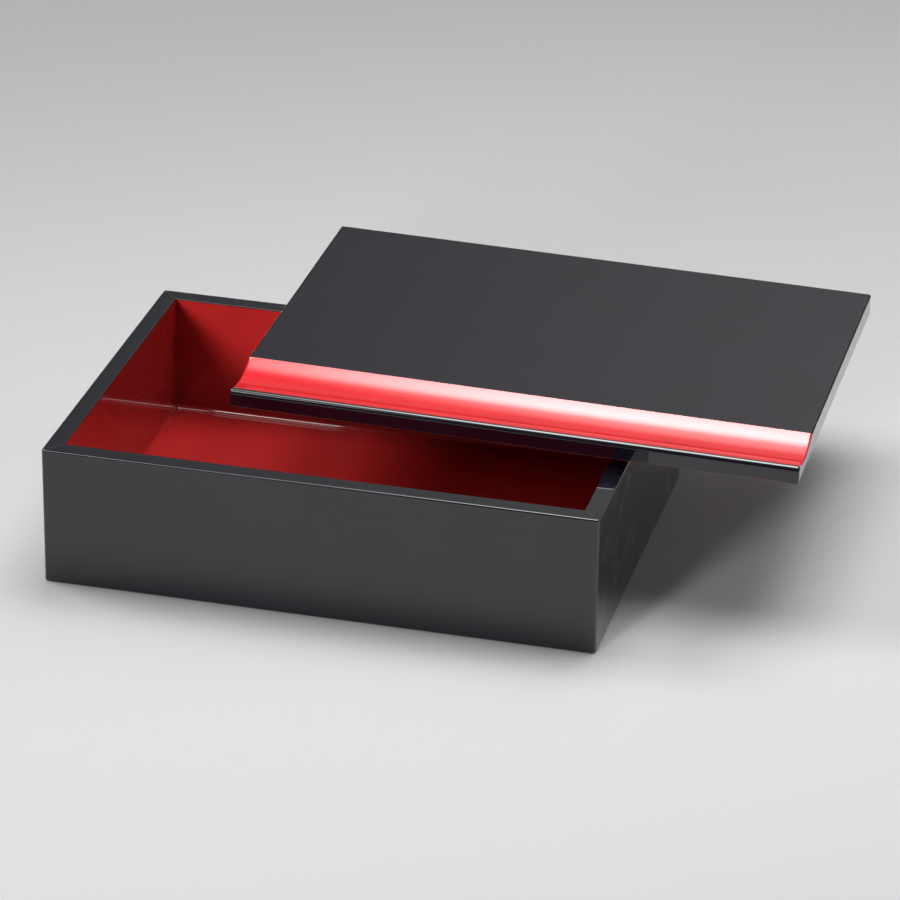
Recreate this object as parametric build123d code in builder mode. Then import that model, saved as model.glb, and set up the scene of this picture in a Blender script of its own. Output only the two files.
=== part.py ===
from build123d import *
import os
from math import radians, sin, cos, tan

# Lacquered wooden bento box with a loose lid.
# Millimetres, +Z up.  The origin is the middle of the box's underside, +X runs along the long side
# to the right and +Y runs to the back.  The lid lies askew on the box, shifted right and back.

os.makedirs("parts", exist_ok=True)

# ---------------------------------------------------------------- driving dimensions: the box
box_length = 270.0
box_width = 192.0
box_height = 70.0
wall = 9.0                 # whole wall, wood and inner coat
floor = 9.0                # whole floor, board and coat
coat = 0.8                 # red coat with its cloth and ground
rim_band = 0.7             # black band at the top of the inner faces, above the red coat
corner_radius = 1.6        # upright outer corners
rim_radius = 0.9           # outer edge of the rim
rim_inner_radius = 0.5     # inner edge of the rim
foot_radius = 1.2          # edge between the walls and the underside
rebate_depth = 4.0         # how far the bottom board runs under the walls
fillet_radius = 2.6        # cove round the foot of the inner walls
fillet_land = 0.12         # thin edge that the cove strips keep

# tongues in the mitred corners
tongue_thickness = 2.0
tongue_width = 6.0
tongue_margin = 9.0        # wood left over and under each tongue

# blind pegs between the edge of the bottom board and the walls
peg_diameter = 2.4
peg_cover = 1.5            # board left under each peg
peg_length = 14.5
pegs_along = 5
pegs_across = 3

# ---------------------------------------------------------------- driving dimensions: the lid
lid_length = 276.4
lid_width = 198.0
lid_thickness = 11.2
lid_edge_radius = 0.9      # top edge at the back
lid_end_radius = 1.2       # all round both ends
lid_foot_radius = 1.8      # edges between the sides and the underside
nose_radius = 2.3          # rounded lip in front of the groove
groove_width = 32.5        # from the front face back to the start of the groove
groove_deepest_at = 13.5   # deepest point, from the front face
groove_depth = 4.9
nose_drop = 1.8            # how far the lip's corner lies below the top, before it is rounded
groove_coat = 0.6
groove_coat_edge = 3.2     # front edge of the coat, from the front face, where the lip rounds over

panel_thickness = 4.0
panel_clearance = 1.0      # round the panel when the lid is closed
batten_width = 12.0
lid_peg_diameter = 3.0
lid_peg_cover = 0.8        # batten left under each blind peg
lid_peg_bite = 5.0         # depth of the pegs in the lid board
lid_pegs_each = 4

# how the lid lies on the box
lid_shift_x = 79.2
lid_shift_y = 58.9
lid_lean = 0.92            # degrees; the right end is the lower one
resting_gap = 0.3          # between the lid and the rim at the supports

# ---------------------------------------------------------------- worked-out dimensions: the box
core = wall - coat
board_thickness = floor - coat
inner_length = box_length - 2 * wall
inner_width = box_width - 2 * wall
coat_top = box_height - rim_band
coat_height = coat_top - floor
rebate_margin = core - rebate_depth

# ---------------------------------------------------------------- worked-out dimensions: the lid
panel_length = inner_length - 2 * panel_clearance
panel_width = inner_width - 2 * panel_clearance
lean = radians(lid_lean)

# The lid rests on two heights: its panel on the outer edge of the right wall, and its left batten,
# which stands lower, on the back wall.  That is what makes it lean.
batten_inner_edge = -panel_length / 2 + batten_width
right_support = box_length / 2 - lid_shift_x
batten_drop = (right_support - batten_inner_edge) * tan(lean)
lid_top_z = (
    box_height + resting_gap + right_support * tan(lean) + (lid_thickness + panel_thickness) / cos(lean)
)

lid_plane = Plane(
    origin=(lid_shift_x, lid_shift_y, lid_top_z),
    x_dir=(cos(lean), 0, -sin(lean)),
    z_dir=(sin(lean), 0, cos(lean)),
)
# across the lid, seen from its right end: local x runs to the back, local y runs up
section_plane = Plane(origin=lid_plane.origin, x_dir=(0, 1, 0), z_dir=lid_plane.x_dir)


def save(piece, label):
    """Name a finished piece and write it as its own STEP file."""
    piece.label = label
    export_step(piece, f"parts/{label}.step")


# ---------------------------------------------------------------- carcass: the four walls in one ring
with BuildPart() as carcass:
    with BuildSketch(Plane.XY):
        RectangleRounded(box_length, box_width, corner_radius)
    extrude(amount=box_height)
    fillet(carcass.edges().group_by(Axis.Z)[-1], rim_radius)
    fillet(carcass.edges().group_by(Axis.Z)[0], foot_radius)
    with BuildSketch(Plane.XY):
        Rectangle(inner_length, inner_width)
    extrude(amount=box_height, mode=Mode.SUBTRACT)
    rim_inner_edges = (
        carcass.edges()
        .group_by(Axis.Z)[-1]
        .filter_by(GeomType.LINE)
        .filter_by(lambda edge: abs(edge.center().X) < inner_length / 2 + rim_inner_radius)
        .filter_by(lambda edge: abs(edge.center().Y) < inner_width / 2 + rim_inner_radius)
    )
    fillet(rim_inner_edges, rim_inner_radius)
    # recess for the red coats, under the black band of the rim
    with BuildSketch(Plane.XY.offset(board_thickness)):
        Rectangle(inner_length + 2 * coat, inner_width + 2 * coat)
    extrude(amount=coat_top - board_thickness, mode=Mode.SUBTRACT)
    # rebate for the bottom board
    with BuildSketch(Plane.XY):
        Rectangle(box_length - 2 * rebate_margin, box_width - 2 * rebate_margin)
    extrude(amount=board_thickness, mode=Mode.SUBTRACT)


# ---------------------------------------------------------------- tongues in the corners
def corner_tongue(side_x, side_y):
    """Loose tongue that bridges the mitre of one corner, square to the mitre's plane."""
    corner = Plane(
        origin=(
            side_x * (box_length - core) / 2,
            side_y * (box_width - core) / 2,
            board_thickness + tongue_margin,
        ),
        x_dir=(side_x, -side_y, 0),
        z_dir=(0, 0, 1),
    )
    with BuildPart() as tongue:
        with BuildSketch(corner):
            Rectangle(tongue_width, tongue_thickness)
        extrude(amount=coat_top - board_thickness - 2 * tongue_margin)
    return tongue.part


tongues = {
    "front_left_corner_tongue": corner_tongue(-1, -1),
    "front_right_corner_tongue": corner_tongue(1, -1),
    "back_left_corner_tongue": corner_tongue(-1, 1),
    "back_right_corner_tongue": corner_tongue(1, 1),
}

# ---------------------------------------------------------------- pegs between board and walls
peg_line_x = box_length / 2 - rebate_margin - rebate_depth / 2
peg_line_y = box_width / 2 - rebate_margin - rebate_depth / 2

with BuildPart() as bottom_pegs:
    with BuildSketch(Plane.XY.offset(peg_cover)):
        with GridLocations(box_length / pegs_along, 2 * peg_line_y, pegs_along, 2):
            Circle(peg_diameter / 2)
        with GridLocations(2 * peg_line_x, box_width / pegs_across, 2, pegs_across):
            Circle(peg_diameter / 2)
    extrude(amount=peg_length)


# ---------------------------------------------------------------- walls, cut from the carcass
def carcass_wall(outer_corners):
    """One wall between its two mitres: the part of the carcass inside a wedge from the middle."""
    with BuildPart() as one_wall:
        add(carcass.part)
        with BuildSketch(Plane.XY):
            Polygon(*outer_corners, align=None)
        extrude(amount=box_height, mode=Mode.INTERSECT)
        for tongue in tongues.values():
            add(tongue, mode=Mode.SUBTRACT)
        add(bottom_pegs.part, mode=Mode.SUBTRACT)
    return one_wall.part


half_length = box_length / 2
half_width = box_width / 2
ridge = half_length - half_width      # the mitres of a corner pair meet this far from the middle

front_wall = carcass_wall(
    [(-ridge, 0), (-half_length, -half_width), (half_length, -half_width), (ridge, 0)]
)
back_wall = carcass_wall(
    [(ridge, 0), (half_length, half_width), (-half_length, half_width), (-ridge, 0)]
)
left_wall = carcass_wall([(-ridge, 0), (-half_length, half_width), (-half_length, -half_width)])
right_wall = carcass_wall([(ridge, 0), (half_length, -half_width), (half_length, half_width)])

save(front_wall, "front_wall")
save(back_wall, "back_wall")
save(left_wall, "left_wall")
save(right_wall, "right_wall")
for tongue_name, tongue_part in tongues.items():
    save(tongue_part, tongue_name)
save(bottom_pegs.part, "bottom_pegs")

# ---------------------------------------------------------------- bottom board
with BuildPart() as bottom_board:
    with BuildSketch(Plane.XY):
        Rectangle(box_length - 2 * rebate_margin, box_width - 2 * rebate_margin)
    extrude(amount=board_thickness)
    add(bottom_pegs.part, mode=Mode.SUBTRACT)
save(bottom_board.part, "bottom_board")

# ---------------------------------------------------------------- red coats
with BuildPart() as floor_lacquer:
    with BuildSketch(Plane.XY.offset(board_thickness)):
        Rectangle(inner_length + 2 * coat, inner_width + 2 * coat)
    extrude(amount=coat)
save(floor_lacquer.part, "floor_lacquer")


def wall_lacquer(length, thickness, x, y):
    """Coat on one inner face, from the floor up to the black band of the rim."""
    with BuildPart() as lacquer:
        with BuildSketch(Plane.XY.offset(floor)):
            with Locations((x, y)):
                Rectangle(length, thickness)
        extrude(amount=coat_height)
    return lacquer.part


coat_line_x = (inner_length + coat) / 2
coat_line_y = (inner_width + coat) / 2
save(wall_lacquer(inner_length + 2 * coat, coat, 0, -coat_line_y), "front_inner_lacquer")
save(wall_lacquer(inner_length + 2 * coat, coat, 0, coat_line_y), "back_inner_lacquer")
save(wall_lacquer(coat, inner_width, -coat_line_x, 0), "left_inner_lacquer")
save(wall_lacquer(coat, inner_width, coat_line_x, 0), "right_inner_lacquer")


# ---------------------------------------------------------------- coved strips round the floor
def floor_strip(corner_plane, length):
    """Coved strip in the angle between the floor and one wall, mitred at both ends.

    The plane stands at the middle of the wall's foot: local x runs into the box, local y runs up.
    """
    with BuildPart() as strip:
        with BuildSketch(corner_plane):
            with BuildLine():
                foot = Line((0, 0), (fillet_radius, 0))
                toe = Line(foot @ 1, (fillet_radius, fillet_land))
                cove = RadiusArc(toe @ 1, (fillet_land, fillet_radius), fillet_radius - fillet_land)
                head = Line(cove @ 1, (0, fillet_radius))
                Line(head @ 1, (0, 0))
            make_face()
        extrude(amount=length / 2, both=True)
        # the mitres: each end leans inwards by one strip width
        mitre_plane = Plane(origin=corner_plane.origin, x_dir=corner_plane.x_dir, z_dir=(0, 0, 1))
        with BuildSketch(mitre_plane):
            Polygon(
                (0, -length / 2),
                (length / 2, 0),
                (0, length / 2),
                align=None,
            )
        extrude(amount=2 * fillet_radius, mode=Mode.INTERSECT)
    return strip.part


def foot_plane(x, y, inwards_x, inwards_y):
    """Section plane at the foot of a wall: local x into the box, local y up."""
    into_box = Vector(inwards_x, inwards_y, 0)
    return Plane(origin=(x, y, floor), x_dir=into_box, z_dir=into_box.cross(Vector(0, 0, 1)))


save(floor_strip(foot_plane(0, -inner_width / 2, 0, 1), inner_length), "front_floor_fillet")
save(floor_strip(foot_plane(0, inner_width / 2, 0, -1), inner_length), "back_floor_fillet")
save(floor_strip(foot_plane(-inner_length / 2, 0, 1, 0), inner_width), "left_floor_fillet")
save(floor_strip(foot_plane(inner_length / 2, 0, -1, 0), inner_width), "right_floor_fillet")

# ---------------------------------------------------------------- lid: whole outer shape
front = -lid_width / 2
back = lid_width / 2

with BuildPart() as lid_shape:
    with BuildSketch(section_plane) as lid_section:
        with BuildLine():
            top = Line((back, 0), (front + groove_width, 0))
            groove = ThreePointArc(
                top @ 1, (front + groove_deepest_at, -groove_depth), (front, -nose_drop)
            )
            lip = Line(groove @ 1, (front, -lid_thickness))
            under = Line(lip @ 1, (back, -lid_thickness))
            Line(under @ 1, (back, 0))
        make_face()
        corners = lid_section.vertices()
        fillet(corners.sort_by_distance((front, -nose_drop))[0], nose_radius)
        fillet(corners.sort_by_distance((front, -lid_thickness))[0], lid_foot_radius)
        fillet(corners.sort_by_distance((back, -lid_thickness))[0], lid_foot_radius)
        fillet(corners.sort_by_distance((back, 0))[0], lid_edge_radius)
    extrude(amount=lid_length / 2, both=True)
    end_faces = lid_shape.faces().sort_by(Axis.X)
    fillet(end_faces[0].edges() + end_faces[-1].edges(), lid_end_radius)

# the groove's coat follows the groove and stops where the lip starts to round over
with BuildPart() as coat_region:
    with BuildSketch(section_plane):
        with BuildLine():
            bed = ThreePointArc(
                (front + groove_width, -groove_coat),
                (front + groove_deepest_at, -groove_depth - groove_coat),
                (front, -nose_drop - groove_coat),
            )
            Line(bed @ 1, (front, lid_thickness))
            Line((front, lid_thickness), (front + groove_width, lid_thickness))
            Line((front + groove_width, lid_thickness), bed @ 0)
        make_face()
        with Locations((front + groove_coat_edge / 2, 0)):
            Rectangle(groove_coat_edge, 3 * lid_thickness, mode=Mode.SUBTRACT)
    extrude(amount=lid_length, both=True)

with BuildPart() as lid_groove_lacquer:
    add(lid_shape.part)
    add(coat_region.part, mode=Mode.INTERSECT)
save(lid_groove_lacquer.part, "lid_groove_lacquer")

# ---------------------------------------------------------------- lid: what hangs under the board
panel_plane = lid_plane.offset(-lid_thickness)
batten_plane = lid_plane.offset(-lid_thickness - panel_thickness)
batten_line = panel_length / 2 - batten_width / 2
peg_reach = batten_drop - lid_peg_cover + panel_thickness
peg_plane = lid_plane.offset(-lid_thickness - peg_reach)

with BuildPart() as lid_pegs:
    with BuildSketch(peg_plane):
        with GridLocations(2 * batten_line, panel_width / lid_pegs_each, 2, lid_pegs_each):
            Circle(lid_peg_diameter / 2)
    extrude(amount=peg_reach + lid_peg_bite)
save(lid_pegs.part, "lid_pegs")

with BuildPart() as lid_board:
    add(lid_shape.part)
    add(coat_region.part, mode=Mode.SUBTRACT)
    add(lid_pegs.part, mode=Mode.SUBTRACT)
save(lid_board.part, "lid_board")

with BuildPart() as lid_inner_panel:
    with BuildSketch(panel_plane):
        RectangleRounded(panel_length, panel_width, corner_radius)
    extrude(amount=-panel_thickness)
    add(lid_pegs.part, mode=Mode.SUBTRACT)
save(lid_inner_panel.part, "lid_inner_panel")


def end_batten(side):
    """Batten across one end of the panel."""
    with BuildPart() as batten:
        with BuildSketch(batten_plane):
            with Locations((side * batten_line, 0)):
                RectangleRounded(batten_width, panel_width, corner_radius)
        extrude(amount=-batten_drop)
        add(lid_pegs.part, mode=Mode.SUBTRACT)
    return batten.part


save(end_batten(-1), "lid_left_batten")
save(end_batten(1), "lid_right_batten")
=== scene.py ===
"""Finishes and studio for a lacquered bento box whose lid rests askew on its rim.

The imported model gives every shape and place. This script dresses each part in its own
finish, stands the box on plain paper, hangs six soft lamps in a dim room around it, and
aims the camera.
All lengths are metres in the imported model's frame: the box stands on z = 0, its front
is towards -Y and its long side runs along X.
"""

import logging
import math
from dataclasses import dataclass, field
from enum import Enum
from typing import Optional, Union

import bpy
from mathutils import Matrix, Vector


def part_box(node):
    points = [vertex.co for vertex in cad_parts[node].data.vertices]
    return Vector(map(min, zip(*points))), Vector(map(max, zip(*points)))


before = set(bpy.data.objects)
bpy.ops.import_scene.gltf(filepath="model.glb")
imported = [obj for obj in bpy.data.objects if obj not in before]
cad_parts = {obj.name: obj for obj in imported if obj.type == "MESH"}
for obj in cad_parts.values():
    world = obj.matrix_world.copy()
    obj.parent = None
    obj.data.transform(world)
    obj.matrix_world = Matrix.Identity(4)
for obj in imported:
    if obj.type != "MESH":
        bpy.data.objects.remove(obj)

MM = 0.001
WAVES_PER_RING = 0.3  # the wave texture's scale that gives one ring per metre
NOISE_SPAN = (0.3, 0.7)  # the range in which most of a noise texture's values lie
LOG = logging.getLogger("bento_box")

Colour = tuple[float, float, float]
Point = tuple[float, float, float]
SocketValue = Union[float, Colour, Point, bpy.types.NodeSocket]


class Axis(Enum):
    """A direction in which something runs, as an index into a vector."""

    X = 0
    Y = 1
    Z = 2


class NodeSheet:
    """A node tree that is being wired up, for a material, a light or the world."""

    def __init__(self, owner: bpy.types.ID) -> None:
        """Clears the owner's node tree.

        Args:
            owner: The material, light or world to wire.
        """
        owner.use_nodes = True
        self.tree: bpy.types.NodeTree = owner.node_tree
        self.tree.nodes.clear()

    def add(
        self,
        kind: str,
        inputs: Optional[dict[Union[str, int], SocketValue]] = None,
        **settings: object,
    ) -> bpy.types.Node:
        """Adds one node and fills its inputs.

        Args:
            kind: The node's type name, without the ShaderNode prefix.
            inputs: Values by socket name or position. A socket is linked, anything else is set.
            **settings: The node's own properties, such as operation.

        Returns:
            The new node.
        """
        node = self.tree.nodes.new("ShaderNode" + kind)
        for name, value in settings.items():
            setattr(node, name, value)
        for name, value in (inputs or {}).items():
            socket = node.inputs[name]
            if isinstance(value, bpy.types.NodeSocket):
                self.tree.links.new(value, socket)
            elif socket.type == "RGBA":
                socket.default_value = (*value, 1.0)
            else:
                socket.default_value = value
        return node

    def math(
        self, operation: str, first: SocketValue, second: SocketValue = 0.0
    ) -> bpy.types.NodeSocket:
        """Adds one sum and returns its result socket.

        Args:
            operation: A name from the Math node, such as MULTIPLY.
            first: The first number or socket.
            second: The second number or socket.

        Returns:
            The socket that carries the result.
        """
        return self.add("Math", {0: first, 1: second}, operation=operation).outputs[0]

    def ramp(
        self,
        value: bpy.types.NodeSocket,
        start: float,
        end: float,
        low: float = 0.0,
        high: float = 1.0,
    ) -> bpy.types.NodeSocket:
        """Turns a value between start and end smoothly into one between low and high.

        Args:
            value: The socket to read.
            start: The value that gives low.
            end: The value that gives high.
            low: The result at and beyond start.
            high: The result at and beyond end.

        Returns:
            The socket that carries the result.
        """
        inputs = {"Value": value, "From Min": start, "From Max": end, "To Min": low, "To Max": high}
        return self.add("MapRange", inputs, interpolation_type="SMOOTHSTEP").outputs["Result"]

    def mix(
        self, share: SocketValue, first: SocketValue, second: SocketValue
    ) -> bpy.types.NodeSocket:
        """Blends two colours.

        Args:
            share: How much of the second colour shows, 0 to 1.
            first: The colour at 0.
            second: The colour at 1.

        Returns:
            The socket that carries the blended colour.
        """
        node = self.add("Mix", data_type="RGBA")
        for position, value in ((0, share), (6, first), (7, second)):
            socket = node.inputs[position]
            if isinstance(value, bpy.types.NodeSocket):
                self.tree.links.new(value, socket)
            else:
                socket.default_value = (*value, 1.0) if socket.type == "RGBA" else value
        return node.outputs[2]

    def place(self) -> bpy.types.NodeSocket:
        """Gives the position on the part, in metres, which rides with it."""
        return self.add("TexCoord").outputs["Object"]

    def noise(
        self, place: bpy.types.NodeSocket, size: float, detail: float = 2.0
    ) -> bpy.types.NodeSocket:
        """Adds cloudy noise.

        Args:
            place: The position socket.
            size: The rough size of one cloud, in metres.
            detail: How many finer layers lie in it.

        Returns:
            The socket that carries the noise, about 0.5 on average.
        """
        inputs = {"Vector": place, "Scale": 1.0 / size, "Detail": detail}
        return self.add("TexNoise", inputs).outputs["Fac"]

    def stretched(
        self, place: bpy.types.NodeSocket, stretch: Point, turn: float = 0.0
    ) -> bpy.types.NodeSocket:
        """Scales and turns a position, so that what follows runs in streaks.

        Args:
            place: The position socket.
            stretch: Scale along each axis.
            turn: Turn about Z in degrees.

        Returns:
            The changed position socket.
        """
        inputs = {"Vector": place, "Scale": stretch, "Rotation": (0.0, 0.0, math.radians(turn))}
        return self.add("Mapping", inputs).outputs[0]


def new_material(name: str) -> tuple[bpy.types.Material, NodeSheet]:
    """Makes an empty material.

    Args:
        name: The material's name.

    Returns:
        The material and its node sheet.
    """
    material = bpy.data.materials.new(name)
    return material, NodeSheet(material)


@dataclass(frozen=True)
class Lacquer:
    """Brushed lacquer, rubbed down and polished: a coloured ground under a clear gloss."""

    name: str
    tone: Colour
    deep_tone: Colour
    edge_tone: Colour
    edge_width: float = 0.5 * MM
    edge_samples: int = 6
    ground_roughness: tuple[float, float] = (0.27, 0.31)
    gloss_roughness: float = 0.02
    cloud_size: float = 45 * MM
    cloud_span: tuple[float, float] = (0.35, 0.65)
    ripple_size: float = 38 * MM
    ripple_height: float = 0.003 * MM
    nib_spacing: float = 17 * MM
    nib_radius: float = 0.22 * MM
    nib_tone: Colour = (0.16, 0.15, 0.14)
    nib_share: float = 0.5
    nib_kept: tuple[float, float] = (0.35, 0.36)
    nib_core: float = 0.4
    rub_stretch: Point = (6.0, 60.0, 60.0)
    rub_turn: float = 8.0
    sharp_edge: tuple[float, float] = (0.995, 0.86)
    ground_ior: float = 1.45
    ground_shine: float = 0.15
    gloss_ior: float = 1.62

    def edges(self, sheet: NodeSheet) -> bpy.types.NodeSocket:
        """Finds the arrises, where polishing leaves the lacquer thin.

        Args:
            sheet: The sheet of the material being made.

        Returns:
            A socket that is 1 on a sharp edge and 0 on the flat.
        """
        bevel = sheet.add("Bevel", {"Radius": self.edge_width}, samples=self.edge_samples)
        flat = sheet.add("NewGeometry").outputs["Normal"]
        both = sheet.add("VectorMath", {0: bevel.outputs[0], 1: flat}, operation="DOT_PRODUCT")
        return sheet.ramp(both.outputs["Value"], *self.sharp_edge)

    def nibs(self, sheet: NodeSheet, place: bpy.types.NodeSocket) -> bpy.types.NodeSocket:
        """Scatters the few dust specks that settle in fresh lacquer.

        Args:
            sheet: The sheet of the material being made.
            place: The position socket.

        Returns:
            A socket that is 1 in the middle of a speck and 0 around it.
        """
        scale = 1.0 / self.nib_spacing
        cells = sheet.add("TexVoronoi", {"Vector": place, "Scale": scale, "Randomness": 1.0})
        lot = sheet.add("SeparateXYZ", {0: cells.outputs["Color"]}).outputs[0]
        kept = sheet.ramp(lot, *self.nib_kept)
        edge = self.nib_radius * scale
        speck = sheet.ramp(cells.outputs["Distance"], edge, self.nib_core * edge)
        return sheet.math("MULTIPLY", kept, speck)

    def material(self) -> bpy.types.Material:
        """Builds the finish.

        Returns:
            The material.
        """
        material, sheet = new_material(self.name)
        place = sheet.place()
        cloud = sheet.ramp(sheet.noise(place, self.cloud_size, 3.0), *self.cloud_span)
        nibs = self.nibs(sheet, place)
        ground = sheet.mix(cloud, self.tone, self.deep_tone)
        worn = sheet.mix(self.edges(sheet), ground, self.edge_tone)
        colour = sheet.mix(sheet.math("MULTIPLY", nibs, self.nib_share), worn, self.nib_tone)
        rubbed = sheet.noise(sheet.stretched(place, self.rub_stretch, self.rub_turn), 1.0, 0.0)
        roughness = sheet.ramp(rubbed, *NOISE_SPAN, *self.ground_roughness)
        ripple = sheet.noise(place, self.ripple_size, 0.0)
        relief = sheet.math("MULTIPLY", ripple, self.ripple_height)
        bump = sheet.add("Bump", {"Height": relief, "Strength": 1.0, "Distance": 1.0}).outputs[0]
        surface = sheet.add(
            "BsdfPrincipled",
            {
                "Base Color": colour,
                "Roughness": roughness,
                "Normal": bump,
                "Coat Normal": bump,
                "IOR": self.ground_ior,
                "Specular IOR Level": self.ground_shine,
                "Coat Weight": 1.0,
                "Coat Roughness": self.gloss_roughness,
                "Coat IOR": self.gloss_ior,
            },
        )
        sheet.add("OutputMaterial", {"Surface": surface.outputs[0]})
        return material


@dataclass(frozen=True)
class BareWood:
    """Pale, straight-grained softwood, planed and left bare."""

    name: str
    grain: Axis
    early: Colour = (0.62, 0.43, 0.25)
    late: Colour = (0.40, 0.23, 0.11)
    ring_width: float = 1.6 * MM
    ring_waver: float = 2.5
    waver_detail: float = 2.0
    waver_scale: float = 1.2
    along_squeeze: float = 0.06
    fibre_size: float = 0.35 * MM
    pore_height: float = 0.03 * MM
    roughness: tuple[float, float] = (0.55, 0.72)

    def material(self) -> bpy.types.Material:
        """Builds the finish.

        Returns:
            The material.
        """
        material, sheet = new_material(self.name)
        along = [1.0, 1.0, 1.0]
        along[self.grain.value] = self.along_squeeze
        place = sheet.stretched(sheet.place(), tuple(along))
        rings = sheet.add(
            "TexWave",
            {
                "Vector": place,
                "Scale": WAVES_PER_RING / self.ring_width,
                "Distortion": self.ring_waver,
                "Detail": self.waver_detail,
                "Detail Scale": self.waver_scale,
            },
            bands_direction="DIAGONAL",
        ).outputs["Fac"]
        fibre = sheet.noise(place, self.fibre_size, 3.0)
        colour = sheet.mix(sheet.math("MULTIPLY", rings, fibre), self.early, self.late)
        roughness = sheet.ramp(fibre, *NOISE_SPAN, *self.roughness)
        relief = sheet.math("MULTIPLY", fibre, self.pore_height)
        bump = sheet.add("Bump", {"Height": relief, "Strength": 1.0, "Distance": 1.0}).outputs[0]
        surface = sheet.add(
            "BsdfPrincipled", {"Base Color": colour, "Roughness": roughness, "Normal": bump}
        )
        sheet.add("OutputMaterial", {"Surface": surface.outputs[0]})
        return material


@dataclass(frozen=True)
class StudioPaper:
    """Matt background paper with painted shade: darker towards the back and left of the table."""

    name: str = "studio_paper"
    lit_front_tone: Colour = (0.372, 0.372, 0.374)
    shaded_back_tone: Colour = (0.228, 0.2275, 0.2265)
    front_at: float = -0.40
    back_at: float = 0.95
    slant: float = 0.7
    fibre_size: float = 0.9 * MM
    fibre_height: float = 0.015 * MM
    mottle: float = 0.02
    roughness: tuple[float, float] = (0.70, 0.85)
    shine: float = 0.1

    def material(self) -> bpy.types.Material:
        """Builds the finish.

        Returns:
            The material.
        """
        material, sheet = new_material(self.name)
        place = sheet.place()
        across = sheet.add("SeparateXYZ", {0: place})
        sideways = sheet.math("MULTIPLY", across.outputs[Axis.X.value], self.slant)
        depth = sheet.math("SUBTRACT", across.outputs[Axis.Y.value], sideways)
        # Painted shade: the tone fades from the lit front to the darker back and left, as the light
        # falls off.
        fade = sheet.ramp(depth, self.front_at, self.back_at)
        paper = sheet.mix(fade, self.lit_front_tone, self.shaded_back_tone)
        fibre = sheet.noise(place, self.fibre_size, 3.0)
        colour = sheet.mix(sheet.math("MULTIPLY", fibre, self.mottle), paper, (0.0, 0.0, 0.0))
        relief = sheet.math("MULTIPLY", fibre, self.fibre_height)
        bump = sheet.add("Bump", {"Height": relief, "Strength": 1.0, "Distance": 1.0}).outputs[0]
        roughness = sheet.ramp(fibre, *NOISE_SPAN, *self.roughness)
        surface = sheet.add(
            "BsdfPrincipled",
            {
                "Base Color": colour,
                "Roughness": roughness,
                "Normal": bump,
                "Specular IOR Level": self.shine,
            },
        )
        sheet.add("OutputMaterial", {"Surface": surface.outputs[0]})
        return material


def dress(node: str, material: bpy.types.Material) -> None:
    """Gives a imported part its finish.

    Args:
        node: The part's name.
        material: The finish.
    """
    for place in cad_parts[node].material_slots:
        place.material = material
    low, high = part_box(node)
    size = " x ".join(f"{length / MM:.1f}" for length in high - low)
    LOG.info("%s: %s mm, %s", node, size, material.name)


@dataclass
class Finishes:
    """The finishes that the box and its lid share."""

    black: bpy.types.Material
    red: bpy.types.Material
    bright_red: bpy.types.Material
    red_wood: bpy.types.Material
    wood_upright: bpy.types.Material

    @classmethod
    def made(cls) -> "Finishes":
        """Builds every finish once.

        Returns:
            The set of finishes.
        """
        black = Lacquer(
            name="black_lacquer",
            # The blue cast in these tones is partly a blue-black lacquer and partly painted
            # reflection of cool room light.
            tone=(0.0016, 0.0014, 0.0040),
            deep_tone=(0.0011, 0.0009, 0.0030),
            edge_tone=(0.070, 0.028, 0.018),
        )
        # One red lacquer in two copies: the interior's is darker with painted shade, the groove's
        # lighter with painted light.
        deep_red = {"tone": (0.31, 0.0130, 0.0125), "deep_tone": (0.29, 0.0120, 0.0115)}
        red = Lacquer(name="red_lacquer_coat", edge_tone=(0.36, 0.006, 0.009), **deep_red)
        red_wood = Lacquer(
            name="red_lacquered_wood",
            tone=(0.18, 0.010, 0.012),
            deep_tone=(0.16, 0.009, 0.011),
            edge_tone=(0.12, 0.010, 0.010),
        )
        # Painted light: the lid groove's lighter copy of the red lacquer.
        bright_red = Lacquer(
            name="bright_red_lacquer",
            tone=(0.44, 0.0075, 0.0110),
            deep_tone=(0.415, 0.0065, 0.0100),
            edge_tone=(0.48, 0.007, 0.010),
        )
        return cls(
            black=black.material(),
            red=red.material(),
            bright_red=bright_red.material(),
            red_wood=red_wood.material(),
            wood_upright=BareWood("bare_wood_upright", Axis.Z).material(),
        )


@dataclass
class LacquerBox:
    """The open box: four mitred walls on a board, black outside and red inside."""

    sides: tuple[str, ...] = ("front", "back", "left", "right")
    corners: tuple[str, ...] = ("front_left", "front_right", "back_left", "back_right")
    board: str = "bottom_board"
    floor: str = "floor_lacquer"
    pegs: str = "bottom_pegs"

    def dress_outside(self, finishes: Finishes) -> None:
        """Lacquers the walls and the bottom board black."""
        for side in self.sides:
            dress(f"{side}_wall", finishes.black)
        dress(self.board, finishes.black)

    def dress_inside(self, finishes: Finishes) -> None:
        """Lacquers the walls' inner coat, the floor and its coves red."""
        for side in self.sides:
            dress(f"{side}_inner_lacquer", finishes.red)
            dress(f"{side}_floor_fillet", finishes.red)
        dress(self.floor, finishes.red)

    def dress_joinery(self, finishes: Finishes) -> None:
        """Leaves the corner tongues and the pegs in bare wood."""
        for corner in self.corners:
            dress(f"{corner}_corner_tongue", finishes.wood_upright)
        dress(self.pegs, finishes.wood_upright)

    def build(self, finishes: Finishes) -> None:
        """Dresses the whole box.

        Args:
            finishes: The shared finishes.
        """
        self.dress_outside(finishes)
        self.dress_inside(finishes)
        self.dress_joinery(finishes)


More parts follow.
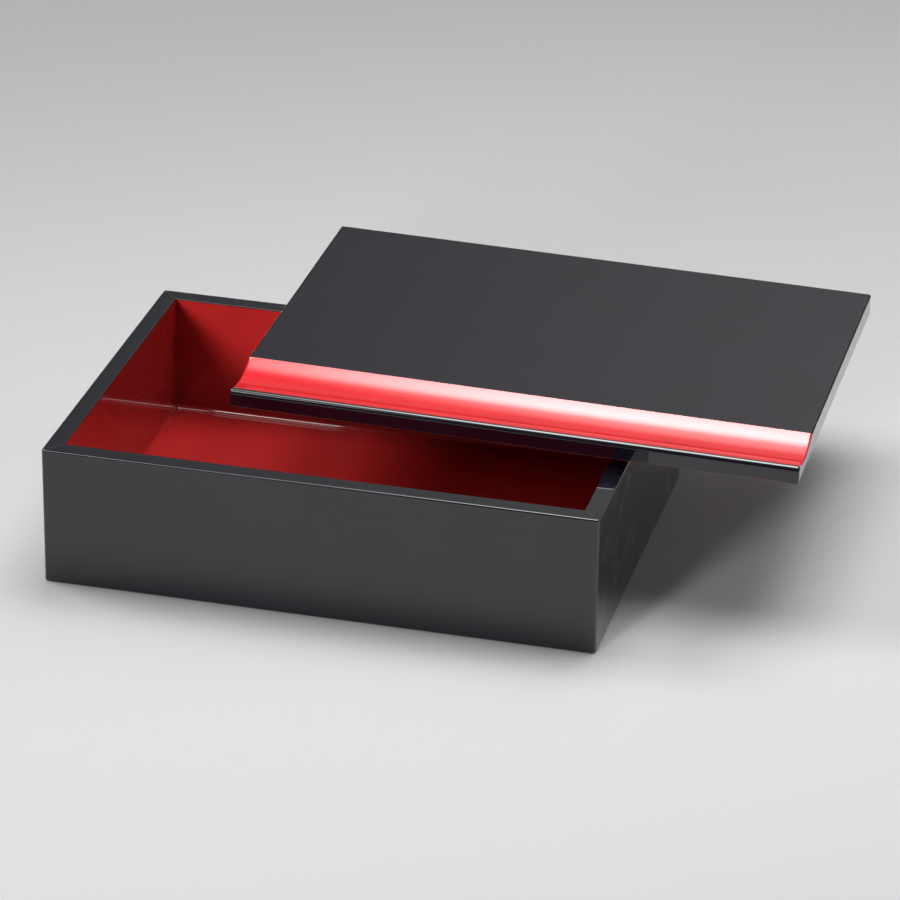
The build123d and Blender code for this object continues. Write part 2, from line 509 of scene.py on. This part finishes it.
@dataclass
class RestingLid:
    """The loose lid: a black board with a red finger groove, and its red inner panel."""

    board: str = "lid_board"
    groove: str = "lid_groove_lacquer"
    panel: str = "lid_inner_panel"
    battens: tuple[str, ...] = ("lid_left_batten", "lid_right_batten")
    pegs: str = "lid_pegs"

    def dress_top(self, finishes: Finishes) -> None:
        """Lacquers the board black and its finger groove in the lighter red copy, which carries
        painted light.
        """
        dress(self.board, finishes.black)
        dress(self.groove, finishes.bright_red)

    def dress_underside(self, finishes: Finishes) -> None:
        """Lacquers the inner panel and the battens red, over bare pegs."""
        for piece in (self.panel, *self.battens):
            dress(piece, finishes.red_wood)
        dress(self.pegs, finishes.wood_upright)

    def build(self, finishes: Finishes) -> None:
        """Dresses the whole lid.

        Args:
            finishes: The shared finishes.
        """
        self.dress_top(finishes)
        self.dress_underside(finishes)


@dataclass
class SoftLamp:
    """A flat soft lamp that is evenly bright in the middle and fades out towards its sides."""

    name: str
    centre: Point
    aim: Point
    size: tuple[float, float]
    brightness: float
    fade_x: tuple[float, float]
    fade_y: tuple[float, float]
    glossy: bool = True
    matt: bool = True

    def profile(
        self,
        sheet: NodeSheet,
        across: bpy.types.NodeSocket,
        width: float,
        fades: tuple[float, float],
    ) -> bpy.types.NodeSocket:
        """Fades the light out towards two opposite sides.

        Args:
            sheet: The lamp's node sheet.
            across: A socket that runs from 0 to 1 across the lamp.
            width: The lamp's width that way, in metres.
            fades: How wide the fading strip is at the low and at the high side, in metres.

        Returns:
            A socket that is 1 in the middle and 0 at both sides.
        """
        low = sheet.ramp(across, 0.0, fades[0] / width)
        high = sheet.ramp(across, 1.0, 1.0 - fades[1] / width)
        return sheet.math("MULTIPLY", low, high)

    def build(self) -> None:
        """Hangs the lamp."""
        light = bpy.data.lights.new(self.name, "AREA")
        light.shape = "RECTANGLE"
        light.size, light.size_y = self.size
        light.energy = self.brightness * math.pi * self.size[0] * self.size[1]
        sheet = NodeSheet(light)
        across = sheet.add("SeparateXYZ", {0: sheet.add("NewGeometry").outputs["Parametric"]})
        strength = sheet.math(
            "MULTIPLY",
            self.profile(sheet, across.outputs[Axis.X.value], self.size[0], self.fade_x),
            self.profile(sheet, across.outputs[Axis.Y.value], self.size[1], self.fade_y),
        )
        glow = sheet.add("Emission", {"Strength": strength})
        sheet.add("OutputLight", {"Surface": glow.outputs[0]})
        lamp = bpy.data.objects.new(self.name, light)
        lamp.location = self.centre
        beam = Vector(self.aim) - Vector(self.centre)
        lamp.rotation_euler = beam.to_track_quat("-Z", "Y").to_euler()
        lamp.visible_camera = False
        lamp.visible_glossy = self.glossy
        lamp.visible_diffuse = self.matt
        bpy.context.scene.collection.objects.link(lamp)
        LOG.info("%s: %.2f x %.2f m at height %.2f m", self.name, *self.size, self.centre[2])


@dataclass
class PaperFloor:
    """The plain pale floor that the box stands on."""

    name: str = "paper_floor"
    half_width: float = 8.0
    finish: StudioPaper = field(default_factory=StudioPaper)

    def build(self) -> None:
        """Lays the floor."""
        reach = self.half_width
        ways = ((-1, -1), (1, -1), (1, 1), (-1, 1))
        corners = [(reach * across, reach * along, 0.0) for across, along in ways]
        mesh = bpy.data.meshes.new(self.name)
        mesh.from_pydata(corners, [], [(0, 1, 2, 3)])
        mesh.materials.append(self.finish.material())
        floor = bpy.data.objects.new(self.name, mesh)
        bpy.context.scene.collection.objects.link(floor)
        LOG.info("%s: %.0f m square", self.name, 2 * reach)


@dataclass
class RoomGlow:
    """The faint light of the studio's pale walls, brightest in a band around the room."""

    name: str = "room_glow"
    colour: Colour = (0.97, 0.985, 1.0)
    ceiling: float = 0.03
    wall_left: float = 0.09
    wall_right: float = 0.46
    turn_side: tuple[float, float] = (-0.42, 0.02)
    turn_back: tuple[float, float] = (-0.2, 0.5)
    band_foot: tuple[float, float] = (0.26, 0.46)
    band_top: tuple[float, float] = (0.88, 0.50)
    front_share: float = 0.35
    matt_share: float = 0.40

    def build(self) -> None:
        """Lights the room."""
        world = bpy.data.worlds.new(self.name)
        sheet = NodeSheet(world)
        heading = sheet.add("SeparateXYZ", {0: sheet.add("TexCoord").outputs["Generated"]})
        sideways, forwards, upwards = (heading.outputs[axis.value] for axis in Axis)
        wall = sheet.ramp(sideways, *self.turn_side, self.wall_left, self.wall_right)
        behind = sheet.ramp(forwards, *self.turn_back, self.front_share, 1.0)
        foot = sheet.ramp(upwards, *self.band_foot)
        top = sheet.ramp(upwards, *self.band_top)
        band = sheet.math("MULTIPLY", sheet.math("MULTIPLY", foot, top), behind)
        matt = sheet.add("LightPath").outputs["Is Diffuse Ray"]
        share = sheet.ramp(matt, 0.0, 1.0, 1.0, self.matt_share)
        walls = sheet.math("MULTIPLY", wall, band)
        strength = sheet.math("MULTIPLY", share, sheet.math("ADD", walls, self.ceiling))
        glow = sheet.add("Background", {"Color": self.colour, "Strength": strength})
        sheet.add("OutputWorld", {"Surface": glow.outputs[0]})
        bpy.context.scene.world = world
        LOG.info("%s: walls %.2f to %.2f", self.name, self.wall_left, self.wall_right)


@dataclass
class StudioCamera:
    """A long-lens camera that looks down on the box from its front right."""

    name: str = "studio_camera"
    azimuth: float = 14.0228
    elevation: float = 26.1772
    roll: float = 0.8325
    distance: float = 2.2141
    aim: Point = (0.033458, 0.026017, 0.034856)
    lens: float = 180.595
    sensor: float = 36.0

    def build(self) -> None:
        """Sets the camera up and makes it the scene's camera."""
        turn, tilt, roll = (math.radians(a) for a in (self.azimuth, self.elevation, self.roll))
        level = math.cos(tilt)
        back = Vector((math.sin(turn) * level, -math.cos(turn) * level, math.sin(tilt)))
        right = (-back).cross(Vector((0.0, 0.0, 1.0))).normalized()
        upward = right.cross(-back)
        rolled_right = right * math.cos(roll) + upward * math.sin(roll)
        rolled_upward = upward * math.cos(roll) - right * math.sin(roll)
        data = bpy.data.cameras.new(self.name)
        data.lens = self.lens
        data.sensor_width = self.sensor
        camera = bpy.data.objects.new(self.name, data)
        axes = Matrix((rolled_right, rolled_upward, back)).transposed()
        stand = Matrix.Translation(Vector(self.aim) + back * self.distance)
        camera.matrix_world = stand @ axes.to_4x4()
        bpy.context.scene.collection.objects.link(camera)
        bpy.context.scene.camera = camera
        LOG.info("%s: %.0f mm lens, %.1f degrees up", self.name, self.lens, self.elevation)


@dataclass
class Studio:
    """The floor, the lights and the camera around the box."""

    floor: PaperFloor = field(default_factory=PaperFloor)
    lamps: tuple[SoftLamp, ...] = (
        SoftLamp(
            name="overhead_lamp",
            centre=(0.20, 0.30, 1.50),
            aim=(0.20, 0.30, 0.0),
            size=(1.50, 1.40),
            brightness=9.0,
            fade_x=(0.43, 0.50),
            fade_y=(0.45, 0.55),
        ),
        SoftLamp(
            name="rear_lamp",
            centre=(0.20, 1.10, 1.53),
            aim=(0.20, 1.10, 0.0),
            size=(1.50, 2.20),
            brightness=3.5,
            fade_x=(0.43, 0.50),
            fade_y=(0.35, 1.70),
        ),
        SoftLamp(
            name="left_lamp",
            centre=(-1.05, 0.10, 1.30),
            aim=(0.0, 0.0, 0.05),
            size=(0.9, 0.9),
            brightness=16.0,
            fade_x=(0.25, 0.25),
            fade_y=(0.25, 0.25),
        ),
        SoftLamp(
            name="front_lamp",
            centre=(-0.68, -2.50, 0.60),
            aim=(0.0, 0.0, 0.05),
            size=(0.6, 0.6),
            brightness=165.0,
            fade_x=(0.20, 0.20),
            fade_y=(0.20, 0.20),
            glossy=False,
        ),
        SoftLamp(
            name="low_right_lamp",
            centre=(1.50, 0.45, 0.30),
            aim=(0.0, 0.0, 0.05),
            size=(0.5, 0.4),
            brightness=32.0,
            fade_x=(0.15, 0.15),
            fade_y=(0.12, 0.12),
            glossy=False,
        ),
        SoftLamp(
            name="edge_strip",
            centre=(-0.84, -0.95, 1.50),
            aim=(-0.84, 0.0, 0.05),
            size=(1.12, 0.5),
            brightness=12.0,
            fade_x=(0.20, 0.35),
            fade_y=(0.15, 0.15),
            matt=False,
        ),
    )
    room: RoomGlow = field(default_factory=RoomGlow)
    camera: StudioCamera = field(default_factory=StudioCamera)

    def build(self) -> None:
        """Sets the studio up and shows light and colour as they are."""
        self.floor.build()
        for lamp in self.lamps:
            lamp.build()
        self.room.build()
        self.camera.build()
        bpy.context.scene.view_settings.view_transform = "Standard"


def main() -> None:
    """Builds the box, its lid and the studio, and logs each part's size as it is dressed."""
    logging.basicConfig(level=logging.INFO, format="%(name)s: %(message)s")
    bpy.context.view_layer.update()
    finishes = Finishes.made()
    LacquerBox().build(finishes)
    RestingLid().build(finishes)
    Studio().build()


if __name__ == "__main__":
    main()
